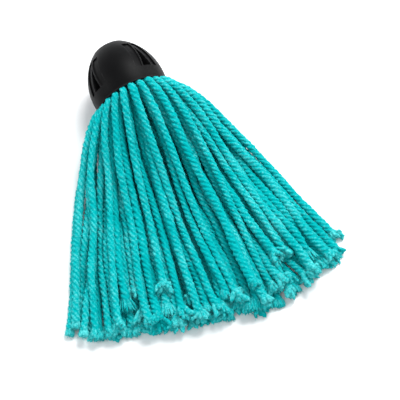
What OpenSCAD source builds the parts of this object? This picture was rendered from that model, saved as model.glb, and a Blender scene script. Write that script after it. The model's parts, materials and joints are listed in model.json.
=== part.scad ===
// String mop head: a moulded egg-shaped cap with a threaded handle socket,
// and 36 folded yarns whose 72 legs fan out of the cap's mouth.
//
// Units are millimetres. The mop head lies on a floor with its strings spread
// towards -Y and its cap at +Y, and +Z is up. The origin is the centre of the
// handle socket's mouth, at the top of the cap.
//
// The cap and its inner parts are drawn upright, with the mouth in the plane
// z = 0 and the cap above it. lay() then tips them over to where they lie.

/* [Cap] */
// Height of the cap from its mouth to its flat top
cap_h = 47.6; // [44:0.1:52]
// Radius of the cap at its widest
cap_r = 31.3; // [30.5:0.1:34]
// Height of the widest point above the mouth
belly_z = 10.5; // [8:0.5:13]
// Radius of the arc that forms the cap's side
side_arc_r = 49; // [46:0.5:56]
// Radius of the rounded edge round the flat top
top_edge_r = 1.5; // [0.8:0.1:2]
// Radius of the mouth the strings come out of
mouth_r = 28.6; // [28.3:0.1:29]
// Angle the top of the cap is tipped up as the mop head lies
nose_up = 7.5; // [0:0.5:12]

/* [Pockets] */
// Height of the flat foot of each pocket above the mouth
pocket_foot_z = 10.5; // [9:0.5:12]
// Height of the top of each pocket
pocket_top_z = 38; // [34:0.5:39]
// Half of the pocket's width at its foot
pocket_foot_half = 10.7; // [9:0.1:12]
// Half of the pocket's width at its top
pocket_top_half = 6.6; // [4:0.1:7]
// Depth of the two shallow side fields
field_depth = 1.2; // [1:0.1:3]
// Depth of the deep hollow between the ribs
hollow_depth = 6.5; // [4:0.1:7]
// Height at which the two ribs of a pocket meet
rib_apex_z = 34; // [30:0.5:36]
// Half of the hollow's width at the foot
hollow_foot_half = 4; // [3:0.1:5]
// Thickness of a rib
rib_t = 1.3; // [0.9:0.1:1.8]
// Angle of the first pocket round the cap, from +X
first_pocket = 31.7; // [0:0.1:90]

/* [Handle socket] */
// Radius of the socket at the crests of its thread
socket_r = 10.2; // [9:0.1:10.5]
// Depth of the socket
socket_depth = 21; // [16:0.5:22]
// Rise of the thread in one turn
thread_pitch = 5; // [4:0.5:6]
// Radius of the round groove that makes the thread
groove_r = 1; // [0.6:0.1:1.1]
// Outer radius of the socket's body
insert_r = 12.8; // [12.5:0.1:13]
// Radius of the flange that holds the socket inside the cap
flange_r = 14.5; // [14:0.1:15]

/* [Yarn fixing] */
// Radius of the hub the yarns are folded round
hub_r = 5.2; // [4.5:0.1:5.5]
// Radius of the disc at the hub's foot
hub_disc_r = 7; // [6:0.1:7.2]
// Radius of the screw's shank
screw_r = 1.5; // [1.2:0.1:2]
// Radius of the wire of the clamp ring
clamp_wire_r = 1.6; // [1:0.1:2]
// Radius of the neck tie's wire
tie_wire_r = 0.8; // [0.5:0.1:1]

/* [Strings] */
// Length of a string from the cap to its tip
string_len = 205; // [190:1:220]
// How much longer or shorter single strings are
len_spread = 6; // [0:1:6]
// Half of the width of the fan at its end
fan_half = 110; // [106:1:112]
// How far the fan's end is swept to the left of the cap's axis
fan_sweep = 17; // [0:1:20]
// Radius of a string where it leaves the mouth
string_r_mouth = 2.2; // [1.5:0.05:2.3]
// Radius of a string at its tip
string_r_tip = 2.4; // [1.5:0.05:2.5]

/* [Hidden] */
$fn = 96;
fine_sides = 32;    // facets round wires and strings
arc_steps = 20;
small_arc_steps = 8;
fit_gap = 0.05;     // between parts that are pushed together
soft_gap = 0.4;     // between the yarn and the hard parts round it
over = 1;           // how far a cutter reaches past the face it cuts

locks = 12;         // groups of strings, one to each 30 degrees of the mouth
legs_per_lock = 6;
yarns = locks * legs_per_lock / 2;
lock_angle = 360 / locks;
lead = 4;           // the strings' start below the mouth plane

// One entry for each ring of strings across the mouth, from the rim inwards
ring_r = [26.4, 20.6, 15.2, 10];
ring_width = [1, 0.89, 0.68, 0.58];      // width of the ring's fan
upper_turn = [0, 0.5, -5, 1.5];          // turn of the tips, upper half, in degrees
lower_turn = [-1, 2, -1, 8];             // turn of the tips, lower half
upper_lift = [31, 24.5, 19.5, 18.5];     // height of the tips over the floor
lower_lift = [3, 7, 13, 14];             // lower half

// One entry for each of a lock's six legs
leg_ring = [0, 0, 1, 1, 2, 3];
leg_angle = [7.5, 22.5, 7.5, 22.5, 15, 15];

side_centre_r = cap_r - side_arc_r;
mouth_angle = -asin(belly_z / side_arc_r);
edge_centre_z = cap_h - top_edge_r;
edge_centre_r = side_centre_r
    + sqrt(pow(side_arc_r - top_edge_r, 2) - pow(edge_centre_z - belly_z, 2));
edge_angle = atan2(edge_centre_z - belly_z, edge_centre_r - side_centre_r);

ceiling_z = 24;         // top of the yarn chamber
throat_r = 21.4;        // widest part of the yarn chamber above the pockets' feet
throat_z = 9.5;
lip_z = 3;              // top of the nearly straight lip inside the mouth
lip_draft = 0.5;        // how much the lip narrows up to there
dome_r = throat_r - flange_r - soft_gap;    // the chamber's rounded shoulder
dome_z = ceiling_z - dome_r;
flange_t = 2.2;
flange_z = ceiling_z - flange_t;
floor_z = cap_h - socket_depth;

rest_r = side_centre_r + side_arc_r * cos(nose_up);
rest_z = belly_z - side_arc_r * sin(nose_up);
ground = -(cap_h - rest_z) * sin(nose_up) - rest_r * cos(nose_up);

function two_digits(n) = str(n < 10 ? "0" : "", n);
function yarn_name(n) = str("yarn_", two_digits(n));

HARD_NODES = ["cap_shell", "handle_socket", "yarn_core", "core_screw",
              "clamp_ring", "neck_tie", "yarn_folds"];

// ---------- shared shapes ----------

function arc(centre_r, centre_z, r, from, to, steps = arc_steps) =
    [for (i = [0 : steps])
        let (w = from + (to - from) * i / steps)
        [centre_r + r * cos(w), centre_z + r * sin(w)]];

// Tips a part drawn upright, mouth at z = 0, over to where the mop head lies
module lay() {
    rotate([nose_up - 90, 0, 0])
        translate([0, 0, -cap_h])
            children();
}

// Outline of the cap's side, moved inwards by inset, from the axis outwards
function egg_outline(inset) = concat(
    [[0, -over]],
    [[side_centre_r + (side_arc_r - inset) * cos(mouth_angle), -over]],
    arc(side_centre_r, belly_z, side_arc_r - inset, mouth_angle, edge_angle),
    [[0, cap_h]]);

module ring(r, z, wire_r) {
    translate([0, 0, z])
        rotate_extrude()
            translate([r, 0])
                circle(r = wire_r, $fn = fine_sides);
}

// ---------- cap ----------

chamber_outline = concat(
    [[mouth_r, 0], [mouth_r - lip_draft, lip_z], [throat_r, throat_z]],
    arc(throat_r - dome_r, dome_z, dome_r, 0, 90, small_arc_steps));

module cap_body() {
    outside = concat(
        arc(side_centre_r, belly_z, side_arc_r, mouth_angle, edge_angle),
        arc(edge_centre_r, edge_centre_z, top_edge_r, edge_angle, 90, small_arc_steps));
    bore = [[insert_r + fit_gap, cap_h], [insert_r + fit_gap, ceiling_z]];
    inside = [for (i = [len(chamber_outline) - 1 : -1 : 0]) chamber_outline[i]];
    rotate_extrude()
        polygon(concat(outside, bore, inside));
}

// Everything of the cap within depth of its outer surface
module skin(depth) {
    difference() {
        cylinder(r = cap_r + over, h = cap_h);
        rotate_extrude()
            polygon(egg_outline(depth));
    }
}

// Pushes an outline, drawn as width and height, out along +X
module side_on(outline) {
    rotate([90, 0, 90])
        linear_extrude(height = cap_r + over)
            polygon(outline);
}

module pocket() {
    rib_top_half = rib_t / 2;
    hollow_top_z = rib_apex_z - rib_t;
    intersection() {
        skin(field_depth);
        difference() {
            side_on([[-pocket_foot_half, pocket_foot_z], [pocket_foot_half, pocket_foot_z],
                     [pocket_top_half, pocket_top_z], [-pocket_top_half, pocket_top_z]]);
            side_on([[-hollow_foot_half - rib_t, pocket_foot_z - over],
                     [hollow_foot_half + rib_t, pocket_foot_z - over],
                     [rib_top_half, rib_apex_z], [rib_top_half, pocket_top_z + over],
                     [-rib_top_half, pocket_top_z + over], [-rib_top_half, rib_apex_z]]);
        }
    }
    intersection() {
        skin(hollow_depth);
        side_on([[-hollow_foot_half, pocket_foot_z], [hollow_foot_half, pocket_foot_z],
                 [0, hollow_top_z]]);
    }
}

module cap_shell() {
    color([0.05, 0.05, 0.055])
        lay()
            difference() {
                cap_body();
                for (quarter = [0 : 3])
                    rotate([0, 0, first_pocket + 90 * quarter])
                        pocket();
            }
}

// ---------- handle socket ----------

first_turn = 0.6;           // height of the lowest groove over the socket's floor, in pitches
thread_run_out = 2;         // plain length of the socket at its ends
groove_inset = 0.1;         // how far the groove's centre lies outside the socket's wall

// One turn of the groove: two tilted half rings, each rising half the pitch
module groove_turn() {
    tilt = asin(thread_pitch / 4 / socket_r);
    for (half = [0, 1])
        translate([0, 0, half * thread_pitch / 2])
            rotate([0, 0, 180 * half])
                rotate([0, tilt, 0])
                    rotate_extrude(angle = 180)
                        translate([socket_r + groove_inset, 0])
                            circle(r = groove_r, $fn = fine_sides);
}

module handle_socket() {
    turns = floor((socket_depth - thread_run_out) / thread_pitch);
    color([0.13, 0.13, 0.14])
        lay()
            difference() {
                union() {
                    translate([0, 0, flange_z])
                        cylinder(r = insert_r, h = cap_h - flange_z);
                    translate([0, 0, flange_z])
                        cylinder(r = flange_r, h = flange_t - fit_gap);
                }
                translate([0, 0, floor_z])
                    cylinder(r = socket_r, h = socket_depth + over);
                for (turn = [0 : turns - 1])
                    translate([0, 0, floor_z + thread_pitch * (turn + first_turn)])
                        groove_turn();
                translate([0, 0, flange_z - over])
                    cylinder(r = screw_r + fit_gap, h = floor_z - flange_z + 2 * over);
            }
}

// ---------- yarn fixing ----------

hub_foot_z = 4;
hub_disc_t = 2.5;
screw_head_r = 3.2;
screw_head_h = 2;
clamp_r = 13.5;
clamp_z = 17;
tie_z = 12;

module yarn_core() {
    color([0.75, 0.74, 0.7])
        lay()
            difference() {
                union() {
                    translate([0, 0, hub_foot_z])
                        cylinder(r = hub_r, h = flange_z - fit_gap - hub_foot_z);
                    translate([0, 0, hub_foot_z])
                        cylinder(r = hub_disc_r, h = hub_disc_t);
                }
                translate([0, 0, hub_foot_z - over])
                    cylinder(r = screw_r + fit_gap, h = flange_z);
            }
}

module core_screw() {
    slot_w = 0.8;
    slot_depth = 0.9;
    slot_half = 2.2;
    tip_gap = 1;
    head_z = hub_foot_z - fit_gap - screw_head_h;
    color([0.7, 0.7, 0.72])
        lay()
            difference() {
                union() {
                    translate([0, 0, head_z])
                        cylinder(r = screw_head_r, h = screw_head_h);
                    translate([0, 0, head_z])
                        cylinder(r = screw_r, h = floor_z - tip_gap - head_z);
                }
                for (turn = [0, 90])
                    rotate([0, 0, turn])
                        translate([-slot_half, -slot_w / 2, head_z - over])
                            cube([2 * slot_half, slot_w, slot_depth + over]);
            }
}

module clamp_ring() {
    color([0.72, 0.73, 0.75])
        lay()
            ring(clamp_r, clamp_z, clamp_wire_r);
}

module neck_tie() {
    color([0.72, 0.73, 0.75])
        lay()
            ring(throat_r - soft_gap - tie_wire_r, tie_z, tie_wire_r);
}

// The yarns' folded tops, packed into the cap's chamber round the hub
module yarn_folds() {
    fold_foot_z = 0.5;
    foot_inset = 1;
    fold_foot_r = ring_r[0] + string_r_mouth - foot_inset;
    fold_r = throat_r - soft_gap;
    fold_top = flange_z - soft_gap;
    packed_dome = dome_r - soft_gap;
    outline = concat(
        [[hub_disc_r + soft_gap, fold_foot_z], [fold_foot_r, fold_foot_z],
         [fold_r, throat_z]],
        arc(fold_r - packed_dome, fold_top - packed_dome, packed_dome, 0, 90, small_arc_steps),
        [[hub_r + soft_gap, fold_top], [hub_r + soft_gap, hub_foot_z + hub_disc_t + soft_gap],
         [hub_disc_r + soft_gap, hub_foot_z + hub_disc_t + soft_gap]]);
    color([0.1, 0.55, 0.6])
        lay()
            difference() {
                rotate_extrude()
                    polygon(outline);
                ring(clamp_r, clamp_z, clamp_wire_r + fit_gap);
                ring(throat_r - soft_gap - tie_wire_r, tie_z, tie_wire_r + fit_gap);
            }
}

// ---------- strings ----------

// Unit vectors of the mouth plane and of the mop's axis, as it lies
mouth_up = [0, -sin(nose_up), cos(nose_up)];
axis_out = [0, -cos(nose_up), -sin(nose_up)];
mouth_centre = axis_out * cap_h;

function leg_start(ring, angle) =
    mouth_centre + lead * axis_out
    + ring_r[ring] * (cos(angle) * [1, 0, 0] + sin(angle) * mouth_up);

// Place of a tip across the fan: 1 at its right edge and -1 at its left edge
function fan_share(ring, angle) =
    let (upper = angle < 180,
         from_right = upper ? angle : 360 - angle,
         turn = (upper ? upper_turn : lower_turn)[ring],
         inward = from_right < 90 ? turn : -turn)
    1 - 2 * (from_right + inward) / 180;

function leg_end(ring, angle, length) =
    let (start = leg_start(ring, angle),
         lift = (angle < 180 ? upper_lift : lower_lift)[ring],
         x = fan_half * ring_width[ring] * fan_share(ring, angle) - fan_sweep,
         reach = sqrt(pow(length, 2) - pow(x - start[0], 2)))
    [x, start[1] - reach, ground + lift];

// A tapered rod from one point to another
module rod(start, end, r_start, r_end) {
    along = end - start;
    length = norm(along);
    translate(start)
        rotate([0, acos(along[2] / length), atan2(along[1], along[0])])
            cylinder(h = length, r1 = r_start, r2 = r_end, $fn = fine_sides);
}

module leg(lock, slot) {
    ring = leg_ring[slot];
    angle = lock * lock_angle + leg_angle[slot];
    golden_turn = 137.5;
    length = string_len + len_spread * sin(golden_turn * (lock * legs_per_lock + slot));
    rod(leg_start(ring, angle), leg_end(ring, angle, length), string_r_mouth, string_r_tip);
}

// The two hanging legs of yarn n, counted from 1
module yarn(n) {
    lock = floor((n - 1) / 3);
    first = 2 * ((n - 1) % 3);
    color([0.1, 0.62, 0.68])
        for (slot = [first, first + 1])
            leg(lock, slot);
}

cap_shell();
handle_socket();
yarn_core();
core_screw();
clamp_ring();
neck_tie();
yarn_folds();
for (n = [1 : yarns])
    yarn(n);
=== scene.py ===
"""String mop head lying on its side: a satin cap and 72 twisted strings with frayed ends.

Lengths are in millimetres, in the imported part's frame, whose origin is at the handle socket.
Meshes, lights and noise work in metres.
"""

import json
import math

import bmesh
import bpy
import numpy as np
from mathutils import Matrix, Vector


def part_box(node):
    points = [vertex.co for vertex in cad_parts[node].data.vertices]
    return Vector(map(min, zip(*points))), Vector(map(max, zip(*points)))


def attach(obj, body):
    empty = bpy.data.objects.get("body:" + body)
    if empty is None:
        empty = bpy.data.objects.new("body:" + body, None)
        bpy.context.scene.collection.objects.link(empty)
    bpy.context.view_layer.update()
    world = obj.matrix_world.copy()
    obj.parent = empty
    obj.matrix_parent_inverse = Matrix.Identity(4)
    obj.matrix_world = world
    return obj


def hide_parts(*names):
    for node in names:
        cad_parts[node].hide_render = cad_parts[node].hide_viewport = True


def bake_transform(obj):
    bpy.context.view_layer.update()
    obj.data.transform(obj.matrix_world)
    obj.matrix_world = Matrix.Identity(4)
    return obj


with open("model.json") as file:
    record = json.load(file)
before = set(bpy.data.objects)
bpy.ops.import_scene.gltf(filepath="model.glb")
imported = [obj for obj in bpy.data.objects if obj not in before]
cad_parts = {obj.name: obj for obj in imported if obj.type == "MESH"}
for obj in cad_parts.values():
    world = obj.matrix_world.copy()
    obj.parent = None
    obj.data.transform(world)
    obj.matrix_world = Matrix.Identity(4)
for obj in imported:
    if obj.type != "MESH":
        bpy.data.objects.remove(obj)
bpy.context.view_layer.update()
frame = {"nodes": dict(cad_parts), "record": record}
chance = np.random.default_rng(345)

MM = 0.001
FULL_TURN = 6.28  # for random phases

# ---------- the frame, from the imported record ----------

AXIS = np.array(frame["record"]["mounts"][0]["axis"])  # up the cap, towards its socket
NOSE_UP = math.atan2(AXIS[2], AXIS[1])
ACROSS = np.array([1.0, 0.0, 0.0])
MOUTH_UP = np.array([0.0, -math.sin(NOSE_UP), math.cos(NOSE_UP)])
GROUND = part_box("cap_shell")[0][2] / MM  # the floor is where the cap rests

# ---------- cap ----------

# heights are above the cap's mouth

CAP_H = 47.6
CAP_R = 31.3
BELLY_Z = 10.5  # height of the widest place
SIDE_ARC_R = 49.0
TOP_EDGE_R = 1.5
MOUTH_R = 28.6
MOUTH_LIP_Z = 3.0
MOUTH_LIP_R = MOUTH_R - 0.5
THROAT_R = 21.4
THROAT_Z = 9.5
DOME_R = 6.5
CEILING_Z = 24.0
BORE_R = 12.85
CAP_SEGMENTS = 160

POCKETS = 4
FIELD_DEPTH = 1.2
HOLLOW_DEPTH = 6.5
POCKET_FOOT_Z = 10.5
POCKET_TOP_Z = 38.0
POCKET_FOOT_HALF = 10.7
POCKET_TOP_HALF = 6.6
HOLLOW_FOOT_HALF = 4.0
HOLLOW_TIP_GAP = 0.8  # how far the hollow stops below the point where its sides would meet
RIB_T = 1.3
RIB_APEX_Z = 34.0
FIRST_POCKET = math.radians(31.7)
CUTTER_MARGIN = 3.0  # how far the pockets' cutters stick out of the cap
CUTTER_COLUMNS = 13
EDGE_ROUNDING = 0.65
ROUNDED_FROM = math.radians(32)  # edges sharper than this are rounded
PAINTED_HIGHLIGHT_FROM = 0.05  # how convex the surface is where the painted edge highlight starts
PAINTED_HIGHLIGHT_OVER = 0.12

# ---------- camera ----------

CAMERA_AZIMUTH = -25.75
CAMERA_ELEVATION = 60.14
CAMERA_FIELD = 16.0
CAMERA_TARGET = (11.8, -145.9, -25.0)
CAMERA_DISTANCE = 1122.2

# ---------- lamps: place and size in metres, power in watts ----------

LAMP_TARGET = (0.0, -0.12, -0.03)
LAMPS = {
    "key": ((0.6, 0.35, 1.2), 0.7, 22.5),
    "fill": ((-0.6, -0.8, 1.2), 1.2, 5),
    "right_side": ((1.0, 0.1, 0.45), 0.35, 3),
    "left_side": ((-1.0, 0.3, 0.45), 0.35, 2.5),
}

# ---------- strings ----------

LOCKS = 12
LEGS_PER_LOCK = 6
RING_R = np.array([25.8, 20.4, 15.0, 9.6])  # the four rings of strings in the mouth
RING_WIDTH = np.array([1.08, 0.99, 0.84, 0.70])  # share of the fan's width that each ring spans
LEG_RING = np.array([0, 0, 1, 1, 2, 3])  # which ring each string of a lock is in
LEG_ANGLE = np.array([7.5, 22.5, 7.5, 22.5, 15.0, 15.0])  # degrees from the lock's start
UPPER_SHIFT = np.array([-3.0, -1.0, 2.0, -3.0])  # degrees; sets rings between each other
LOWER_SHIFT = np.array([0.5, 4.0, -3.0, 3.0])
CROWDING = 0.1  # how much closer together the strings lie towards the fan's edges

STRING_LEN = 206.0
REACH = 194.0  # how far from the mouth the strings in the fan's middle are cut off
REACH_RIGHT = 11.0  # how much farther that is on the fan's right
REACH_LEFT = 7.0  # and at its left edge
RIGHT_FROM = -0.05  # heading from which the reach grows to the right
LEFT_FROM = 0.38  # and, the other way, to the left
REACH_OVER = 0.2  # change of heading over which it grows
SHORTER = 34.0  # how much shorter the shortest upper string is
STRING_R = 3.15
MOUTH_STRING_R = 2.5
SWELL_LEN = 4.0  # how far past the mouth a string is back at its full thickness
INSIDE = 10.0  # how far a string is drawn up into the cap
FUNNEL = 7.0  # the last part of that, along the cap's flared mouth
PATH_STEP = 4.0
FAN_MIDDLE = math.radians(-6.9)  # heading of the fan's middle string at its tip
FAN_SPLAY = math.radians(19.6)
RIM_SPLAY = math.radians(69)  # how far the outer strings turn out over the cap's rim
RIM_RISE = math.radians(48)  # how steeply the top strings rise over it
RIM_LEN = 4.0  # the length over which a string leaves the rim
TURN_LEN = 23.5  # the length over which a string turns to its own heading
TURN_SPREAD = (0.9, 1.1)
RISE_LEN = 13.0  # and the length over which it comes down again
RIM_FLARE = 1.05  # slope at which the outer strings pass the mouth's flare
FIRST_SPLAY = 0.65  # share of the splay that a string has in the mouth already
RIGHT_LEAN = 0.09  # how much more the strings on the right splay
CALM = 0.75  # how much less the strings stray at the fan's edges
CALM_FROM = 0.45  # share of the fan's half width where they begin to stray less
CALM_OVER = 0.4
STRAY = math.radians(2.0)
TIP_CURL = math.radians(13)
MOST_CURL = 1.6  # the most that a tip curls, as a multiple of that
CURL_LEN = 42.0
WAVE = 2.0  # sideways waves along a string
WAVE_LEN = (12, 30)
LIFT = 3.0  # how far strings lie above or below each other at first
LOOSE_FROM = 10.0  # distance past the mouth where waves and lift begin
LOOSE_OVER = 60.0

SETTLE_ROUNDS = 160
SEARCH_ROUNDS = 8  # rounds between two searches for strings that are near each other
SEARCH_REACH = 9.0  # how near that is
PUSHES = 3  # pushes apart in each round
FALL = 0.06  # how far a string falls in one round
HELD_UP = 0.1  # share of that fall for a string near the mouth
FREE_FROM = 15.0  # distance past the mouth from which a string falls more freely
FREE_OVER = 75.0
MOMENTUM = np.array([0.5, 0.5, 0.9])  # share of a round's move that goes on in the next
LONGEST_MOVE = 1.0
STIFFNESS = 0.35  # how strongly a string evens out its bends
STAY = 0.99  # share of a sideways shift that stays after each round
CAP_GAP = 0.4  # share of a string's radius that it keeps from the cap
CAP_SIDE = 12.0  # how far up the cap's side a string could come to lie

CLAMP_R = 13.5  # the ring that the strings' folded tops hang over
CLAMP_Z = 17.0  # its height above the mouth
FOLD_TURN_R = 2.95
FOLD_R = 1.25

PLIES = 4
PLY_LEAD = 19.0  # length of one full twist of the plies
PLY_SIDES = 24
RING_STEP = 0.9
PLY_ROUNDNESS = 0.7
VALLEY_R = 0.77  # radius between two plies, and the rise from there to a ply's crest
CREST_RISE = 0.27
UNTWIST_LEN = 16.0
BRUSH_SHARE = 0.25  # share of the tips that are brushes, the others being woolly tufts
FUZZ = 200  # loose fibres on each string
THICKNESS = (0.86, 1.1)

# ---------- colours and finish ----------

CAP_DARK = (0.0015, 0.0015, 0.0017)
CAP_LIGHT = (0.003, 0.003, 0.0033)
SOCKET_DARK = (0.03, 0.03, 0.032)
SOCKET_LIGHT = (0.05, 0.05, 0.052)
HUB_DARK = (0.5, 0.49, 0.45)
HUB_LIGHT = (0.62, 0.61, 0.57)
# pale colour painted along the cap's convex edges: a painted highlight, not wear
PAINTED_EDGE_HIGHLIGHT = (0.32, 0.32, 0.33)
WIRE_STEEL = (0.62, 0.63, 0.65)
YARN_DARK = (0.0, 0.25, 0.26)
YARN_MIDDLE = (0.0, 0.40, 0.41)
YARN_LIGHT = (0.12, 0.64, 0.64)
YARN_SHEEN = (0.3, 1.0, 0.95)
FLOOR_GREY = (0.9, 0.9, 0.9)
SKY = (0.93, 0.96, 1.0)
GRAIN_HEIGHT = 0.0001
CLOTH_HEIGHT = 0.0004


def unit(vectors):
    return vectors / np.linalg.norm(vectors, axis=-1, keepdims=True)


def smooth(x):
    x = np.clip(x, 0.0, 1.0)
    return x * x * (3 - 2 * x)


def make_object(name, verts, faces, attributes=None):
    """A smooth-shaded mesh object from points in millimetres."""
    mesh = bpy.data.meshes.new(name)
    mesh.from_pydata((np.asarray(verts) * MM).tolist(), [], [tuple(f) for f in faces])
    for key, values in (attributes or {}).items():
        layer = mesh.attributes.new(key, "FLOAT", "POINT")
        layer.data.foreach_set("value", np.asarray(values, dtype=np.float32))
    mesh.polygons.foreach_set("use_smooth", [True] * len(mesh.polygons))
    obj = bpy.data.objects.new(name, mesh)
    bpy.context.collection.objects.link(obj)
    return obj


# ---------- how the strings lie ----------

def leg_table():
    """Lock, ring and angle round the mouth of every string, and its share of the fan."""
    lock = np.repeat(np.arange(LOCKS), LEGS_PER_LOCK)
    ring = np.tile(LEG_RING, LOCKS)
    angle = lock * 360.0 / LOCKS + np.tile(LEG_ANGLE, LOCKS)
    from_right = np.where(angle < 180, angle + UPPER_SHIFT[ring], 360 - angle + LOWER_SHIFT[ring])
    share = 1 - 2 * from_right / 180
    share = share * (1 + CROWDING - CROWDING * share ** 2) * RING_WIDTH[ring]
    return lock, ring, np.radians(angle), share


def first_paths(ring, angle, share):
    """Strings as they leave the mouth and fan out, before they settle."""
    legs = len(ring)
    steps = int((STRING_LEN + INSIDE) / PATH_STEP) + 1
    step = (STRING_LEN + INSIDE) / (steps - 1)
    along = np.tile(-INSIDE + np.arange(steps) * step, (legs, 1))
    past = along.clip(0)

    loose = 1 - CALM * smooth((np.abs(share) - CALM_FROM) / CALM_OVER)
    end = FAN_MIDDLE + FAN_SPLAY * share
    end = end + STRAY * loose * chance.normal(size=legs)
    turn_len = TURN_LEN * chance.uniform(*TURN_SPREAD, (legs, 1))
    turn = np.exp(-(past - RIM_LEN).clip(0) / turn_len)
    lean = share * (1 + RIGHT_LEAN * smooth(share / 0.6))
    rim = FIRST_SPLAY + (1 - FIRST_SPLAY) * smooth((along + 2) / (RIM_LEN + 2))
    splay = RIM_SPLAY * lean[:, None] * rim
    heading = end[:, None] + (splay - end[:, None]) * turn
    bend = chance.normal(size=legs).clip(-MOST_CURL, MOST_CURL)
    curl = TIP_CURL * bend * (0.3 + 0.7 * loose)
    from_tip = STRING_LEN - along
    heading = heading + curl[:, None] * smooth(1 - from_tip / CURL_LEN)

    radial = np.cos(angle)[:, None] * ACROSS + np.sin(angle)[:, None] * MOUTH_UP
    out = RING_R[ring] / RING_R[0]
    rise = RIM_RISE * out * radial[:, 2].clip(0, 1)
    rise = rise[:, None] * np.exp(-past / RISE_LEN)
    way = np.stack([np.sin(heading) * np.cos(rise), -np.cos(heading) * np.cos(rise),
                    np.sin(rise)], -1)
    funnel = unit(-AXIS + RIM_FLARE * out[:, None] * radial)
    way = np.where((along < 0)[..., None], funnel[:, None], way)
    way[along < -FUNNEL] = -AXIS
    start = -CAP_H * AXIS + RING_R[ring][:, None] * radial
    points = np.cumsum(way * step, axis=1)
    at_mouth = np.stack([[np.interp(0, along[leg], points[leg, :, k]) for k in range(3)]
                         for leg in range(legs)])
    points += (start - at_mouth)[:, None]

    height = chance.normal(size=(legs, 1)) * WAVE
    wave_len = chance.uniform(*WAVE_LEN, (legs, 1))
    wave = height * np.sin(along / wave_len + chance.uniform(0, FULL_TURN, (legs, 1)))
    free = smooth((along - LOOSE_FROM) / LOOSE_OVER)
    points[..., 0] += wave * free
    points[..., 2] += LIFT * chance.normal(size=legs)[:, None] * free
    return points, along


def cut_off(points, shorter):
    """The part of a path that is left when its end is trimmed to the fan's edge."""
    from_mouth = points + CAP_H * AXIS
    heading = np.arctan2(from_mouth[:, 0], -from_mouth[:, 1])
    edge = REACH - shorter + REACH_RIGHT * smooth((heading - RIGHT_FROM) / REACH_OVER)
    edge = edge + REACH_LEFT * smooth((-heading - LEFT_FROM) / REACH_OVER)
    too_far = np.linalg.norm(from_mouth[:, :2], axis=1) > edge
    left = len(points) - int(too_far.sum())
    return points[:left]


def near_pairs(points, legs, steps, reach):
    """Pairs of path points of different strings that are within reach of each other."""
    flat = points.reshape(-1, 3).astype(np.float32)
    owner = np.repeat(np.arange(legs), steps)
    first, second = [], []
    for leg in range(legs - 1):
        mine = flat[leg * steps:(leg + 1) * steps]
        others = flat[(leg + 1) * steps:]
        gap = np.abs(mine[:, None] - others[None]).max(axis=2)
        i, j = np.nonzero(gap < reach)
        first.append(i + leg * steps)
        second.append(j + (leg + 1) * steps)
    return np.concatenate(first), np.concatenate(second)


def push_apart(flat, radii, weights, pairs):
    """Moves path points of two strings apart where the strings overlap."""
    i, j = pairs
    apart = flat[i] - flat[j]
    distance = np.linalg.norm(apart, axis=1).clip(1e-6)
    overlap = radii[i] + radii[j] - distance
    hit = overlap > 0
    i, j = i[hit], j[hit]
    push = apart[hit] * (overlap[hit] / distance[hit] * 0.5)[:, None]
    count = np.bincount(i, minlength=len(flat)) + np.bincount(j, minlength=len(flat))
    for k in range(3):
        total = np.bincount(i, push[:, k], len(flat)) - np.bincount(j, push[:, k], len(flat))
        flat[:, k] += weights * total / np.maximum(count * 0.5, 1.0)


def ease(points, laid, pinned):
    """Keeps the strings smooth, and in plan near where they were laid."""
    moved = points - laid
    between = 0.5 * (moved[:, pinned - 1:-2] + moved[:, pinned + 1:])
    moved[:, pinned:-1] += STIFFNESS * (between - moved[:, pinned:-1])
    moved[:, -1] = moved[:, -2]
    moved[..., :2] *= STAY
    points[...] = laid + moved


def cap_radius(height):
    """Outer radius of the cap at a height above its mouth."""
    centre = CAP_R - SIDE_ARC_R
    return centre + np.sqrt((SIDE_ARC_R ** 2 - (height - BELLY_Z) ** 2).clip(0))


def keep_off_cap(points, radii, pinned):
    """Pushes path points that lie beside the cap out of it, back past the mouth."""
    mouth = -CAP_H * AXIS
    free = points[:, pinned:]
    height = (free - mouth) @ AXIS
    depth = height + radii[:, pinned:] * CAP_GAP
    inside = (depth > 0) & (height < CAP_SIDE)
    free -= np.where(inside, depth, 0)[..., None] * AXIS * 0.5


def settle(points, along, rounds):
    """Lets the strings fall on each other and on the floor."""
    legs, steps, _ = points.shape
    radii = MOUTH_STRING_R + (STRING_R - MOUTH_STRING_R) * smooth(along / SWELL_LEN)
    pinned = int(INSIDE / PATH_STEP) + 3
    weights = np.tile((np.arange(steps) >= pinned).astype(float), legs)
    sink = FALL * (HELD_UP + (1 - HELD_UP) * smooth((along - FREE_FROM) / FREE_OVER))
    laid = points.copy()
    before = points.copy()
    for turn in range(rounds):
        if turn % SEARCH_ROUNDS == 0:
            pairs = near_pairs(points, legs, steps, SEARCH_REACH)
        drift = (points - before) * MOMENTUM
        before = points.copy()
        points[:, pinned:] += drift[:, pinned:].clip(-LONGEST_MOVE, LONGEST_MOVE)
        points[:, pinned:, 2] -= sink[:, pinned:]
        for _ in range(PUSHES):
            ease(points, laid, pinned)
            flat = points.reshape(-1, 3)
            push_apart(flat, radii.ravel(), weights, pairs)
            points = flat.reshape(legs, steps, 3)
            points[..., 2] = np.maximum(points[..., 2], GROUND + radii)
            keep_off_cap(points, radii, pinned)
    return points, radii


def refine(points, values, spacing):
    """Catmull-Rom samples of one path, evenly spaced."""
    length = np.linalg.norm(np.diff(points, axis=0), axis=1).sum()
    count = max(int(length / spacing), 8)
    place = np.linspace(0, len(points) - 1.0001, count)
    index = place.astype(int)
    t = (place - index)[:, None]
    padded = np.vstack([2 * points[0] - points[1], points, 2 * points[-1] - points[-2]])
    p0, p1, p2, p3 = (padded[index + k] for k in range(4))
    curve = 0.5 * (2 * p1 + (p2 - p0) * t + (2 * p0 - 5 * p1 + 4 * p2 - p3) * t ** 2
                   + (3 * p1 - p0 - 3 * p2 + p3) * t ** 3)
    return curve, np.interp(place, np.arange(len(values)), values)


# ---------- string meshes ----------

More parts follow.
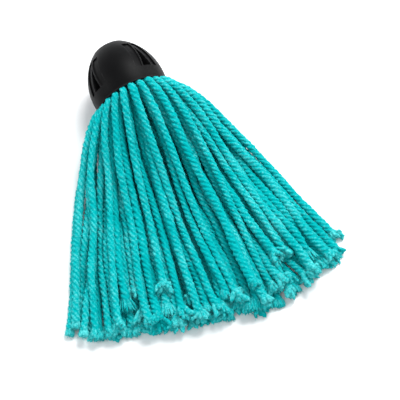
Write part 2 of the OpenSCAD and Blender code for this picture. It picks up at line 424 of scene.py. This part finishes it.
class Build:
    """Gathers the points and faces of one mesh, with a few values for every point."""

    def __init__(self):
        self.verts, self.faces = [], []
        self.values = {key: [] for key in ("crease", "tint", "fuzz", "along", "turn_x", "turn_y")}
        self.count = 0

    def add(self, verts, faces, **values):
        self.verts.append(verts)
        self.faces.append(faces + self.count)
        for key, store in self.values.items():
            store.append(np.broadcast_to(values[key], len(verts)))
        self.count += len(verts)

    def finish(self, name):
        faces = np.concatenate(self.faces)
        values = {key: np.concatenate(store) for key, store in self.values.items()}
        return make_object(name, np.concatenate(self.verts), faces.tolist(), values)


def frames(paths):
    """Tangent and two normals along each path."""
    tangent = unit(np.gradient(paths, axis=-2))
    side = unit(np.cross(tangent, np.array([0.03, 0.05, 1.0])))
    return tangent, side, np.cross(side, tangent)


def turns(sides):
    """Evenly spaced angles of a full turn."""
    return np.arange(sides) * 2 * math.pi / sides


def circles(side, up, turn):
    """Unit circles across a path, at the angles in turn."""
    return np.cos(turn)[:, None] * side[..., None, :] + np.sin(turn)[:, None] * up[..., None, :]


def tube_faces(rings, sides, count=1):
    """Faces of one or more tubes, whose points lie ring after ring."""
    ring = np.arange(rings - 1)[:, None] * sides
    side = np.arange(sides)[None]
    after = (side + 1) % sides
    quads = np.stack([ring + side, ring + after, ring + sides + after, ring + sides + side], -1)
    offsets = np.arange(count)[:, None, None] * rings * sides
    return (quads.reshape(-1, 4)[None] + offsets).reshape(-1, 4)


def tubes(build, paths, radii, sides, **values):
    """Adds thin tubes, one for each path, with the same values all over."""
    count, rings, _ = paths.shape
    _, side, up = frames(paths)
    turn = turns(sides)
    verts = paths[..., None, :] + circles(side, up, turn) * radii[..., None, None]
    along = np.repeat(np.tile(np.linspace(0, 8, rings), count), sides)
    phase = np.repeat(chance.uniform(0, FULL_TURN, count), rings * sides)
    around = np.tile(turn, count * rings) + phase
    build.add(verts.reshape(-1, 3), tube_faces(rings, sides, count), along=along,
              turn_x=np.cos(around), turn_y=np.sin(around), **values)


def ripple(along, least, most, size):
    """A slow uneven wave along a string."""
    wave = np.zeros_like(along)
    for _ in range(3):
        wave += np.sin(along / chance.uniform(least, most) + chance.uniform(0, FULL_TURN))
    return size * wave / 3


def add_rope(build, path, radius, tint, frayed):
    """Adds one string: four plies laid up in an S twist, loosening towards the tip."""
    rings = len(path)
    _, side, up = frames(path)
    along = np.concatenate([[0], np.cumsum(np.linalg.norm(np.diff(path, axis=0), axis=1))])
    to_tip = along[-1] - along
    lead = PLY_LEAD * chance.uniform(0.9, 1.15)
    twist = 2 * math.pi * along / lead + chance.uniform(0, FULL_TURN) + ripple(along, 9, 25, 0.9)
    turn = turns(PLY_SIDES)
    lobe = np.abs(np.cos(PLIES * turn / 2)) ** PLY_ROUNDNESS
    opening = smooth(1 - to_tip / UNTWIST_LEN) * frayed
    swell = 1 + ripple(along, 3, 12, 0.09) + 0.25 * opening
    closing = np.sqrt(np.clip(to_tip / (2.5 + 2 * frayed), 0.02, 1))
    outline = radius[:, None] * (swell * closing)[:, None] * (VALLEY_R + CREST_RISE * lobe[None])
    lumps = np.zeros((rings, PLY_SIDES))
    # each ply has lumps of its own
    for ply in range(PLIES):
        mine = (turn * PLIES / (2 * math.pi) + 0.5).astype(int) % PLIES == ply
        lumps[:, mine] += ripple(along, 0.6, 1.8, 0.15)[:, None]
    outline = outline * (1 + lumps * lobe + 0.045 * chance.normal(size=(rings, PLY_SIDES)))
    angle = turn[None] + twist[:, None]
    offset = np.cos(angle)[..., None] * side[:, None] + np.sin(angle)[..., None] * up[:, None]
    verts = path[:, None] + offset * outline[..., None]
    # the valleys between the plies, where shade is painted into the colour
    crease = np.tile(1 - lobe, rings)
    build.add(verts.reshape(-1, 3), tube_faces(rings, PLY_SIDES), crease=crease, tint=tint,
              fuzz=0.0, along=np.repeat(along, PLY_SIDES),
              turn_x=np.cos(angle).ravel(), turn_y=np.sin(angle).ravel())


def add_hairs(build, roots, ways, least, most, tint):
    """Adds short curly fibres, one at each root."""
    count = len(roots)
    far = np.linspace(0, 1, 5)[None, :, None]
    reach = chance.uniform(least, most, (count, 1, 1))
    hairs = roots[:, None] + ways[:, None] * reach * far
    hairs = hairs + 0.45 * reach * chance.normal(size=(count, 1, 3)) * far ** 2
    hairs[..., 2] = np.maximum(hairs[..., 2], GROUND + 0.15)
    thin = chance.uniform(0.7, 1.2, (count, 1)) * np.array([[0.15, 0.14, 0.12, 0.1, 0.03]])
    tubes(build, hairs, thin, 3, crease=0.0, tint=tint, fuzz=1.0)


def woolly(paths, thick, sides, lumps):
    """Surface points of thick soft strands, with rounded lumps of a few sizes."""
    count, rings, _ = paths.shape
    _, side, up = frames(paths)
    turn = turns(sides)
    place = np.arange(rings)[:, None] / rings
    surface = np.ones((count, rings, sides))
    for size in (1.0, 0.8, 0.6, 0.45):
        around = chance.integers(1, 4 / size, (count, 1, 1))
        beat = chance.uniform(5, 9, (count, 1, 1)) / size
        phase = chance.uniform(0, FULL_TURN, (2, count, 1, 1))
        across = np.sin(around * turn + phase[0])
        lengthwise = np.sin(beat * place + phase[1])
        surface += lumps * size * across * lengthwise
    surface += 0.35 * lumps * chance.normal(size=surface.shape).clip(-2, 2)
    reach = (thick[..., None] * surface)[..., None]
    return paths[..., None, :] + circles(side, up, turn) * reach


def add_bloom(build, path, radius, tint, frayed):
    """Adds a woolly tuft: short thick strands that part and curl past the tip."""
    strands = int(12 + 9 * frayed)
    rings = 13
    sides = 9
    root = len(path) - 1 - int((4 + 5 * frayed) / RING_STEP)
    tangent, side, up = (f[root:].mean(axis=0) for f in frames(path))
    turn = chance.uniform(0, 2 * math.pi, strands)
    out = np.sqrt(chance.uniform(0.05, 1, strands))
    radial = np.cos(turn)[:, None] * side + np.sin(turn)[:, None] * up * 0.8
    length = 4.5 + 5 * frayed + chance.uniform(-2.0, 3.5, strands) * (0.3 + frayed)
    far = np.linspace(0, 1, rings)[None, :, None]
    start = path[root] + radial * (out * radius[root] * 0.75)[:, None]
    paths = start[:, None] + tangent * length[:, None, None] * far
    spread = (0.06 + 0.62 * frayed) * out * length
    paths = paths + radial[:, None] * spread[:, None, None] * far ** 1.3
    # every strand bends its own way and curls
    bend = chance.normal(size=(strands, 1, 3)) * np.array([1.0, 1.0, 0.7])
    paths = paths + bend * (0.3 + 1.9 * frayed) * far ** 2
    phase = chance.uniform(0, FULL_TURN, (strands, 1, 3))
    curl = np.sin(far * chance.uniform(5, 10, (strands, 1, 1)) + phase) - np.sin(phase)
    paths = paths + (0.35 + 0.65 * frayed) * curl * far
    # the strands sag to the floor and have rounded ends
    paths[..., 2] -= 2.0 * frayed * far[..., 0] ** 2
    paths[..., 2] = np.maximum(paths[..., 2], GROUND + 1.5)
    place = far[..., 0]
    end = np.sqrt(np.clip(1 - ((place - 0.78) / 0.22).clip(0, 1) ** 2, 0.01, 1))
    thick = chance.uniform(1.05, 1.9, (strands, 1)) * (0.75 + 0.4 * place) * end
    soft = woolly(paths, thick, sides, 0.15)
    soft[..., 2] = np.maximum(soft[..., 2], GROUND + 0.05)
    around = np.tile(turns(sides), strands * rings)
    along = np.tile(np.repeat(8 * place[0], sides), strands)
    build.add(soft.reshape(-1, 3), tube_faces(rings, sides, strands), crease=0.0, tint=tint,
              fuzz=0.4, along=along, turn_x=np.cos(around), turn_y=np.sin(around))
    # short fibres stand off the strands
    count = int(120 + 200 * frayed)
    strand = chance.integers(0, strands, count)
    ring = chance.integers(4, rings - 1, count)
    roots = soft[strand, ring, chance.integers(0, sides, count)]
    way_out = unit(roots - paths[strand, ring] + 1e-6)
    ways = unit(way_out + 0.4 * tangent + 0.7 * chance.normal(size=(count, 3)))
    add_hairs(build, roots - 0.2 * way_out, ways, 0.5, 1.2 + 0.5 * frayed, tint)


def add_brush(build, path, radius, tint, frayed):
    """Adds the fine strands that an untwisted tip fans out into."""
    strands = int(46 + 26 * frayed)
    rings = 9
    root = len(path) - 1 - int((4 + 7 * frayed) / RING_STEP)
    tangent, side, up = (f[root:].mean(axis=0) for f in frames(path))
    turn = chance.uniform(0, 2 * math.pi, strands)
    out = np.sqrt(chance.uniform(0, 1, strands))
    radial = np.cos(turn)[:, None] * side * 1.15 + np.sin(turn)[:, None] * up * 0.6
    length = (4 + 7 * frayed) + (2.0 + 5.0 * frayed) * chance.uniform(0.8, 1.05, strands)
    spread = (0.08 + 0.36 * frayed) * out + 0.03 * chance.normal(size=strands)
    far = np.linspace(0, 1, rings)[None, :, None]
    start = path[root] + radial * (out * radius[root] * 0.75)[:, None]
    paths = start[:, None] + tangent * length[:, None, None] * far
    paths = paths + radial[:, None] * (spread * length)[:, None, None] * far ** 1.4
    bend = chance.normal(size=(strands, 1, 3)) * np.array([1.0, 1.0, 0.6])
    paths = paths + bend * 0.5 * (0.3 + frayed) * far ** 2
    phase = chance.uniform(0, FULL_TURN, (strands, 1, 3))
    curl = np.sin(far * chance.uniform(4, 9, (strands, 1, 1)) + phase) - np.sin(phase)
    paths = paths + 0.35 * curl * far
    paths[..., 2] -= 2.0 * frayed * far[..., 0] ** 2
    paths[..., 2] = np.maximum(paths[..., 2], GROUND + 0.8)
    taper = np.array([0.2, 1.0, 1.0, 1.05, 1.1, 1.15, 1.15, 1.0, 0.2])
    thick = chance.uniform(0.5, 0.85, (strands, 1)) * taper[None]
    tubes(build, paths, thick, 6, crease=0.1, tint=tint, fuzz=0.5)
    count = 110
    pick = chance.integers(0, strands, count)
    roots = paths[pick, chance.integers(4, rings, count)]
    ways = unit(tangent + radial[pick] * 0.5 + 0.8 * chance.normal(size=(count, 3)))
    add_hairs(build, roots, ways, 0.8, 2.2, tint)


def add_fuzz(build, path, radius, tint, count):
    """Adds short loose fibres that stand off the string."""
    at = chance.integers(14, len(path) - 4, count)
    tangent, side, up = frames(path)
    turn = chance.uniform(0, 2 * math.pi, count)
    radial = np.cos(turn)[:, None] * side[at] + np.sin(turn)[:, None] * up[at]
    lean = chance.normal(size=(count, 3)) * 0.5
    way = unit(radial + lean + tangent[at] * chance.normal(size=(count, 1)) * 0.8)
    length = chance.uniform(0.7, 1.9, count)[:, None, None]
    far = np.linspace(0, 1, 4)[None, :, None]
    start = path[at] + radial * (radius[at] * 0.85)[:, None]
    paths = start[:, None] + way[:, None] * length * far
    bend = chance.normal(size=(count, 1, 1))
    paths = paths + tangent[at][:, None] * length * 0.4 * far ** 2 * bend
    paths[..., 2] = np.maximum(paths[..., 2], GROUND + 0.1)
    thick = np.array([[0.09, 0.08, 0.06, 0.02]]) * np.ones((count, 1))
    tubes(build, paths, thick, 3, crease=0.0, tint=tint, fuzz=1.0)


def make_yarns(material):
    """One piece for each yarn: its two strings, which bend over from the cap to their lock."""
    lock, ring, angle, share = leg_table()
    points, along = first_paths(ring, angle, share)
    points, radii = settle(points, along, SETTLE_ROUNDS)
    make_folds(points, material)
    for number in range(LOCKS * LEGS_PER_LOCK // 2):
        build = Build()
        legs = (2 * number, 2 * number + 1)
        for leg in legs:
            path, radius = refine(points[leg], radii[leg], RING_STEP)
            upper = 0.25 + 0.75 * (angle[leg] < math.pi)
            upper *= 1 - 0.7 * smooth((abs(share[leg]) - 0.7) / 0.2)
            path = cut_off(path, SHORTER * upper * chance.uniform(0, 1) ** 2.2)
            radius = radius[:len(path)]
            tint = chance.uniform(0, 1)
            thickness = chance.uniform(*THICKNESS)
            frayed = chance.uniform(0.3, 1.0) * (1 - 0.65 * smooth(-share[leg] * 2 - 0.8))
            add_rope(build, path, radius * thickness, tint, frayed)
            add_tip = add_brush if chance.uniform() < BRUSH_SHARE else add_bloom
            add_tip(build, path, radius * thickness, tint, frayed)
            add_fuzz(build, path, radius * thickness, tint, FUZZ)
        name = f"string_pair_{number + 1:02d}"
        piece = build.finish(name)
        piece.data.materials.append(material)
        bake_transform(piece)
        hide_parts(f"yarn_{number + 1:02d}")


def fold_path(first, second, angle):
    """From the start of one string over the clamp ring to the start of another."""
    radial = math.cos(angle) * ACROSS + math.sin(angle) * MOUTH_UP
    way_over = np.radians(np.linspace(-35, 215, 7))
    out = CLAMP_R + FOLD_TURN_R * np.cos(way_over)
    height = CLAMP_Z + FOLD_TURN_R * np.sin(way_over)
    over = out[:, None] * radial + (height - CAP_H)[:, None] * AXIS
    return np.vstack([first[1], first[0], over, second[0], second[1]])


def make_folds(points, material):
    """The strings' folded tops, hung over the clamp ring inside the cap."""
    build = Build()
    pairs = len(points) // 2
    for pair in range(pairs):
        angle = 2 * math.pi * (pair + 0.5) / pairs
        path = fold_path(points[2 * pair], points[2 * pair + 1], angle)
        thickness = np.full(len(path), FOLD_R)
        thickness[[0, 1, -2, -1]] = MOUTH_STRING_R * 0.85
        path, radius = refine(path, thickness, RING_STEP)
        add_rope(build, path, radius, chance.uniform(0, 1), 0.0)
    folds = build.finish("string_folds")
    folds.data.materials.append(material)
    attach(folds, "head")
    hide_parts("yarn_folds")


# ---------- cap mesh ----------

def arc(centre_r, centre_z, r, start, end, steps):
    """Points of an arc in the plane of radius and height."""
    turn = np.linspace(start, end, steps + 1)
    return np.stack([centre_r + r * np.cos(turn), centre_z + r * np.sin(turn)], 1)


def cap_profile():
    """The cap's closed outline, up its side, down its bore and out to its mouth."""
    centre = CAP_R - SIDE_ARC_R
    mouth_angle = -math.asin(BELLY_Z / SIDE_ARC_R)
    edge_z = CAP_H - TOP_EDGE_R
    edge_r = centre + math.sqrt((SIDE_ARC_R - TOP_EDGE_R) ** 2 - (edge_z - BELLY_Z) ** 2)
    edge_angle = math.atan2(edge_z - BELLY_Z, edge_r - centre)
    side = arc(centre, BELLY_Z, SIDE_ARC_R, mouth_angle, edge_angle, 40)
    edge = arc(edge_r, edge_z, TOP_EDGE_R, edge_angle, math.pi / 2, 6)[1:]
    bore = np.array([[BORE_R, CAP_H], [BORE_R, CEILING_Z]])
    dome = arc(THROAT_R - DOME_R, CEILING_Z - DOME_R, DOME_R, math.pi / 2, 0, 10)
    mouth = np.array([[THROAT_R, THROAT_Z], [MOUTH_LIP_R, MOUTH_LIP_Z], [MOUTH_R, 0.0]])
    return np.concatenate([side, edge, bore, dome, mouth])


def lay_down():
    """The move from the upright cap, mouth at height 0, to where it lies."""
    tip_over = Matrix.Rotation(NOSE_UP - math.pi / 2, 4, "X")
    return tip_over @ Matrix.Translation((0, 0, -CAP_H * MM))


def lathe(name, profile, segments):
    """A closed outline of radii and heights, turned round the upright axis."""
    turn = turns(segments)
    rings = len(profile)
    verts = np.stack([profile[:, None, 0] * np.cos(turn), profile[:, None, 0] * np.sin(turn),
                      np.broadcast_to(profile[:, None, 1], (rings, segments))], -1)
    faces = tube_faces(rings, segments)
    first = np.arange(segments)
    after = (first + 1) % segments
    last = (rings - 1) * segments
    join = np.stack([last + first, last + after, after, first], 1)
    return make_object(name, verts.reshape(-1, 3), np.concatenate([faces, join]).tolist())


def side_field(quarter, side):
    """Cutter for the shallow field on one side of a pocket's ribs."""
    rows = 30
    levels = np.linspace(POCKET_FOOT_Z, POCKET_TOP_Z, rows)
    share = (levels - POCKET_FOOT_Z) / (POCKET_TOP_Z - POCKET_FOOT_Z)
    edge = POCKET_FOOT_HALF + (POCKET_TOP_HALF - POCKET_FOOT_HALF) * share
    rib_share = ((levels - POCKET_FOOT_Z) / (RIB_APEX_Z - POCKET_FOOT_Z)).clip(0, 1)
    rib = (HOLLOW_FOOT_HALF + RIB_T) * (1 - rib_share) + RIB_T / 2 * rib_share
    name = f"field_{quarter}_{side}"
    return solid_between(name, levels, side * rib, side * edge, FIELD_DEPTH, quarter)


def solid_between(name, levels, near, far_edge, depth, quarter):
    """A cutter between two edges given as offsets at each level, depth deep in the cap."""
    turn = FIRST_POCKET + quarter * 2 * math.pi / POCKETS
    out = np.array([math.cos(turn), math.sin(turn), 0])
    across = np.array([-math.sin(turn), math.cos(turn), 0])
    columns = np.linspace(0, 1, CUTTER_COLUMNS)
    width = near[:, None] + (far_edge - near)[:, None] * columns[None]
    shell = cap_radius(levels)[:, None] - depth
    inner = np.sqrt((shell ** 2 - width ** 2).clip(1))
    outer = np.full_like(inner, CAP_R + CUTTER_MARGIN)
    flat = levels[:, None, None] * np.array([0, 0, 1.0])
    verts = np.concatenate([
        (width[..., None] * across + reach[..., None] * out + flat).reshape(-1, 3)
        for reach in (inner, outer)])
    rows, cols = width.shape
    index = np.arange(rows * cols).reshape(rows, cols)
    far = index + rows * cols
    front = grid_patch(index)
    back = grid_patch(far)[:, ::-1]
    border = np.concatenate([index[0, :-1], index[:-1, -1], index[-1, :0:-1], index[:0:-1, 0]])
    after = np.roll(border, -1)
    walls = np.stack([border, after, after + rows * cols, border + rows * cols], 1)
    return make_object(name, verts, np.concatenate([front, back, walls]).tolist())


def grid_patch(index):
    """Faces of a grid of points, given as rows of point numbers."""
    quads = [index[:-1, :-1], index[1:, :-1], index[1:, 1:], index[:-1, 1:]]
    return np.stack(quads, -1).reshape(-1, 4)


def hollow(quarter):
    """Cutter for the deep hollow between a pocket's two ribs."""
    top = RIB_APEX_Z - RIB_T
    levels = np.linspace(POCKET_FOOT_Z, top - HOLLOW_TIP_GAP, 24)
    half = HOLLOW_FOOT_HALF * (top - levels) / (top - POCKET_FOOT_Z)
    return solid_between(f"hollow_{quarter}", levels, -half, half, HOLLOW_DEPTH, quarter)


def apply_modifiers(obj):
    depsgraph = bpy.context.evaluated_depsgraph_get()
    mesh = bpy.data.meshes.new_from_object(obj.evaluated_get(depsgraph))
    obj.modifiers.clear()
    obj.data = mesh


def subtract(obj, tool):
    bpy.context.view_layer.update()
    normals_out(tool)
    cut = obj.modifiers.new("cut", "BOOLEAN")
    cut.operation = "DIFFERENCE"
    cut.solver = "EXACT"
    cut.object = tool
    apply_modifiers(obj)
    bpy.data.objects.remove(tool)


def normals_out(obj):
    bm = bmesh.new()
    bm.from_mesh(obj.data)
    bmesh.ops.recalc_face_normals(bm, faces=bm.faces)
    bm.to_mesh(obj.data)
    bm.free()


def mark_edges(obj):
    """Stores how sharply convex the surface is at every point, as the mask of a highlight painted
    along the edges.
    """
    mesh = obj.data
    count = len(mesh.vertices)
    place = np.empty(count * 3)
    mesh.vertices.foreach_get("co", place)
    place = place.reshape(-1, 3)
    normal = np.empty(count * 3)
    mesh.vertices.foreach_get("normal", normal)
    normal = normal.reshape(-1, 3)
    ends = np.empty(len(mesh.edges) * 2, dtype=int)
    mesh.edges.foreach_get("vertices", ends)
    first, second = ends.reshape(-1, 2).T
    way = unit(place[second] - place[first])
    rise = np.bincount(first, (way * normal[first]).sum(axis=1), count)
    rise -= np.bincount(second, (way * normal[second]).sum(axis=1), count)
    edges = np.bincount(first, minlength=count) + np.bincount(second, minlength=count)
    convex = -rise / edges.clip(1)
    layer = mesh.attributes.new("edge", "FLOAT", "POINT")
    # the mask of the highlight painted along convex edges
    edge_highlight = smooth((convex - PAINTED_HIGHLIGHT_FROM) / PAINTED_HIGHLIGHT_OVER)
    layer.data.foreach_set("value", edge_highlight.astype(np.float32))


def make_cap(material):
    """The cap: turned, cut out, its edges rounded and marked, and laid on its side."""
    cap = lathe("cap", cap_profile(), CAP_SEGMENTS)
    normals_out(cap)
    for quarter in range(POCKETS):
        subtract(cap, side_field(quarter, -1))
        subtract(cap, side_field(quarter, 1))
        subtract(cap, hollow(quarter))
    edges = cap.modifiers.new("edges", "BEVEL")
    edges.width = EDGE_ROUNDING * MM
    edges.segments = 3
    edges.limit_method = "ANGLE"
    edges.angle_limit = ROUNDED_FROM
    edges.harden_normals = False
    apply_modifiers(cap)
    mark_edges(cap)
    cap.data.transform(lay_down())
    cap.data.materials.clear()
    cap.data.materials.append(material)
    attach(cap, "head")
    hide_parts("cap_shell")


# ---------- materials ----------

def new_material(name):
    material = bpy.data.materials.new(name)
    material.use_nodes = True
    nodes = material.node_tree.nodes
    return material, nodes, material.node_tree.links, nodes["Principled BSDF"]


def noise(nodes, links, vector, scale, detail=4.0, roughness=0.55):
    node = nodes.new("ShaderNodeTexNoise")
    node.inputs["Scale"].default_value = scale
    node.inputs["Detail"].default_value = detail
    node.inputs["Roughness"].default_value = roughness
    links.new(vector, node.inputs["Vector"])
    return node.outputs["Fac"]


def ramp(nodes, links, value, low, high, low_color, high_color):
    """Colours from low_color to high_color as the value goes from low to high."""
    node = nodes.new("ShaderNodeValToRGB")
    node.color_ramp.elements[0].position = low
    node.color_ramp.elements[1].position = high
    node.color_ramp.elements[0].color = (*low_color, 1)
    node.color_ramp.elements[1].color = (*high_color, 1)
    links.new(value, node.inputs["Fac"])
    return node.outputs["Color"]


def bump(nodes, links, height, strength, distance):
    node = nodes.new("ShaderNodeBump")
    node.inputs["Strength"].default_value = strength
    node.inputs["Distance"].default_value = distance
    links.new(height, node.inputs["Height"])
    return node.outputs["Normal"]


def math_node(nodes, links, operation, first, second):
    node = nodes.new("ShaderNodeMath")
    node.operation = operation
    for socket, value in zip(node.inputs, (first, second)):
        if isinstance(value, (int, float)):
            socket.default_value = value
        else:
            links.new(value, socket)
    return node.outputs["Value"]


def attribute(nodes, name):
    node = nodes.new("ShaderNodeAttribute")
    node.attribute_name = name
    return node.outputs["Fac"]


def plastic(name, dark, light, rough_low, rough_high, grain):
    """Moulded plastic: faint mottling, fine grain, a soft uneven sheen and a highlight painted
    along convex edges.
    """
    material, nodes, links, shader = new_material(name)
    place = nodes.new("ShaderNodeTexCoord").outputs["Object"]
    mottle = noise(nodes, links, place, 60, 3)
    wear_and_highlight_noise = noise(nodes, links, place, 220, 5)
    # along convex edges a pale colour is mixed in, broken up by noise: a painted highlight
    edge_highlight = nodes.new("ShaderNodeMixRGB")
    edge_highlight_mask = math_node(nodes, links, "MULTIPLY", attribute(nodes, "edge"), wear_and_highlight_noise)
    links.new(edge_highlight_mask, edge_highlight.inputs["Fac"])
    links.new(ramp(nodes, links, mottle, 0.3, 0.7, dark, light), edge_highlight.inputs["Color1"])
    edge_highlight.inputs["Color2"].default_value = (*PAINTED_EDGE_HIGHLIGHT, 1)
    links.new(edge_highlight.outputs["Color"], shader.inputs["Base Color"])
    spread = nodes.new("ShaderNodeMapRange")
    spread.inputs["To Min"].default_value = rough_low
    spread.inputs["To Max"].default_value = rough_high
    links.new(wear_and_highlight_noise, spread.inputs["Value"])
    links.new(spread.outputs["Result"], shader.inputs["Roughness"])
    fine = noise(nodes, links, place, 2600, 2)
    links.new(bump(nodes, links, fine, grain, GRAIN_HEIGHT), shader.inputs["Normal"])
    shader.inputs["Specular IOR Level"].default_value = 0.08
    return material


def metal(name, color, roughness):
    """Plated steel: slight tarnish and fine marks."""
    material, nodes, links, shader = new_material(name)
    place = nodes.new("ShaderNodeTexCoord").outputs["Object"]
    tarnish = noise(nodes, links, place, 140, 4)
    dull = tuple(c * 0.6 for c in color)
    links.new(ramp(nodes, links, tarnish, 0.35, 0.65, dull, color), shader.inputs["Base Color"])
    shader.inputs["Metallic"].default_value = 1.0
    shader.inputs["Roughness"].default_value = roughness
    fine = noise(nodes, links, place, 1800, 3)
    links.new(bump(nodes, links, fine, 0.2, GRAIN_HEIGHT), shader.inputs["Normal"])
    return material


def yarn_cloth():
    """Dyed yarn: fibres that run along the string, shade painted into the creases between plies,
    and pale loose ends.
    """
    material, nodes, links, shader = new_material("yarn_cloth")
    wrapped = nodes.new("ShaderNodeCombineXYZ")
    along = math_node(nodes, links, "MULTIPLY", attribute(nodes, "along"), 0.3)
    links.new(along, wrapped.inputs["X"])
    links.new(attribute(nodes, "turn_x"), wrapped.inputs["Y"])
    links.new(attribute(nodes, "turn_y"), wrapped.inputs["Z"])
    fibre = noise(nodes, links, wrapped.outputs["Vector"], 6.0, 5, 0.65)
    place = nodes.new("ShaderNodeTexCoord").outputs["Object"]
    speck = noise(nodes, links, place, 560, 4, 0.65)
    patch = noise(nodes, links, place, 45, 2)

    # the crease term darkens the valleys between plies: painted shade
    parts = [(fibre, 0.7), (speck, 0.9), (patch, 0.35), (attribute(nodes, "tint"), 0.14),
             (attribute(nodes, "fuzz"), 0.12), (attribute(nodes, "crease"), -0.16)]
    shade = -0.32
    for value, weight in parts:
        part = math_node(nodes, links, "MULTIPLY", value, weight)
        shade = math_node(nodes, links, "ADD", part, shade)
    color = ramp(nodes, links, shade, 0.2, 1.05, YARN_DARK, YARN_LIGHT)
    middle = color.node.color_ramp.elements.new(0.72)
    middle.color = (*YARN_MIDDLE, 1)
    links.new(color, shader.inputs["Base Color"])
    shader.inputs["Roughness"].default_value = 0.92
    shader.inputs["Specular IOR Level"].default_value = 0.02
    shader.inputs["Sheen Weight"].default_value = 0.03
    shader.inputs["Sheen Roughness"].default_value = 0.5
    shader.inputs["Sheen Tint"].default_value = (*YARN_SHEEN, 1)
    rough_cloth = math_node(nodes, links, "ADD", fibre, speck)
    links.new(bump(nodes, links, rough_cloth, 0.6, CLOTH_HEIGHT), shader.inputs["Normal"])
    return material


# ---------- studio ----------

def white_floor():
    size = 3000.0
    signs = ((-1, -1), (1, -1), (1, 1), (-1, 1))
    corners = [(x * size, y * size, GROUND) for x, y in signs]
    floor = make_object("floor", corners, [(0, 1, 2, 3)])
    material, _, _, shader = new_material("pale_floor")
    shader.inputs["Base Color"].default_value = (*FLOOR_GREY, 1)
    shader.inputs["Roughness"].default_value = 0.8
    floor.data.materials.append(material)


def area_light(name, position, target, size, power):
    """A round lamp that faces the target, with places and size in metres."""
    data = bpy.data.lights.new(name, "AREA")
    data.shape = "DISK"
    data.size = size
    data.energy = power
    lamp = bpy.data.objects.new(name, data)
    bpy.context.collection.objects.link(lamp)
    lamp.location = position
    look = Vector(target) - Vector(position)
    lamp.rotation_euler = look.to_track_quat("-Z", "Y").to_euler()


def studio_light():
    """A sky that is brighter near the horizon, and four soft lamps."""
    world = bpy.data.worlds.new("studio")
    world.use_nodes = True
    nodes, links = world.node_tree.nodes, world.node_tree.links
    background = nodes["Background"]
    background.inputs["Color"].default_value = (*SKY, 1)
    apart = nodes.new("ShaderNodeSeparateXYZ")
    links.new(nodes.new("ShaderNodeTexCoord").outputs["Generated"], apart.inputs[0])
    height = math_node(nodes, links, "ABSOLUTE", apart.outputs["Z"], 0.0)
    spread = nodes.new("ShaderNodeMapRange")
    spread.interpolation_type = "SMOOTHSTEP"
    spread.inputs["From Max"].default_value = 0.6
    spread.inputs["To Min"].default_value = 0.95
    spread.inputs["To Max"].default_value = 0.58
    links.new(height, spread.inputs["Value"])
    links.new(spread.outputs["Result"], background.inputs["Strength"])
    bpy.context.scene.world = world
    for name, (position, size, power) in LAMPS.items():
        area_light(name, position, LAMP_TARGET, size, power)


def camera():
    """A long lens, looking down at the mop head from above the left side of its tips."""
    azimuth, elevation = math.radians(CAMERA_AZIMUTH), math.radians(CAMERA_ELEVATION)
    level = math.cos(elevation)
    back = Vector((math.sin(azimuth) * level, -math.cos(azimuth) * level, math.sin(elevation)))
    data = bpy.data.cameras.new("camera")
    data.angle = math.radians(CAMERA_FIELD)
    view = bpy.data.objects.new("camera", data)
    bpy.context.collection.objects.link(view)
    view.location = Vector(CAMERA_TARGET) * MM + back * CAMERA_DISTANCE * MM
    view.rotation_euler = back.to_track_quat("Z", "Y").to_euler()
    bpy.context.scene.camera = view


# ---------- the whole scene ----------

def dress_cad_nodes(looks):
    """Gives the CAD's own shapes their materials."""
    for node, material in looks.items():
        obj = frame["nodes"][node]
        obj.data.materials.clear()
        obj.data.materials.append(material)


cap_plastic = plastic("cap_plastic", CAP_DARK, CAP_LIGHT, 0.42, 0.55, 0.12)
socket_plastic = plastic("socket_plastic", SOCKET_DARK, SOCKET_LIGHT, 0.45, 0.6, 0.2)
hub_plastic = plastic("hub_plastic", HUB_DARK, HUB_LIGHT, 0.4, 0.55, 0.2)
wire = metal("wire_steel", WIRE_STEEL, 0.35)
yarn = yarn_cloth()

make_cap(cap_plastic)
make_yarns(yarn)
dress_cad_nodes({"handle_socket": socket_plastic, "yarn_core": hub_plastic, "core_screw": wire,
                 "clamp_ring": wire, "neck_tie": wire})
white_floor()
studio_light()
camera()

bpy.context.scene.view_settings.view_transform = "Standard"
